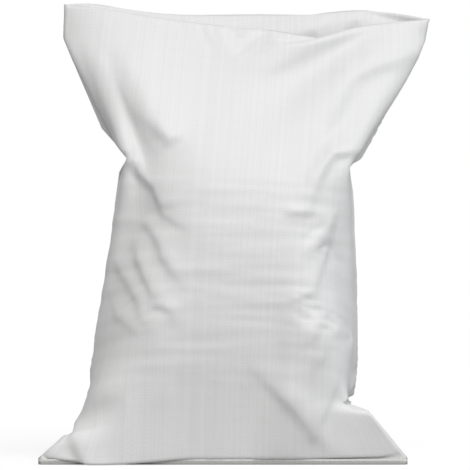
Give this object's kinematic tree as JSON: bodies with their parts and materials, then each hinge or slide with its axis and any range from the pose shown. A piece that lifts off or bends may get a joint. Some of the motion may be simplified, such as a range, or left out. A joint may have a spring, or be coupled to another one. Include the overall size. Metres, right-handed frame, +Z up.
{
  "type": "rubble sack",
  "caption": "Open woven polypropylene rubble sack with a flared flat mouth, rounded body, sewn bottom hem and flat corner ears.",
  "frame": {"origin": "under the middle of the sack's box, on the floor it stands on", "axes": "+Z up towards the mouth; X along the sewn hem and the flat mouth; the front panel faces -Y, and Y is the sack's depth"},
  "size_m": [0.585, 0.2726, 0.688],
  "materials": {
    "woven_tape": "white woven polypropylene tape cloth, slightly glossy",
    "sewing_thread": "matt white spun thread"
  },
  "bodies": {
    "root": {"sack_body": "woven_tape", "hem_thread": "sewing_thread"}
  },
  "joints": []
}
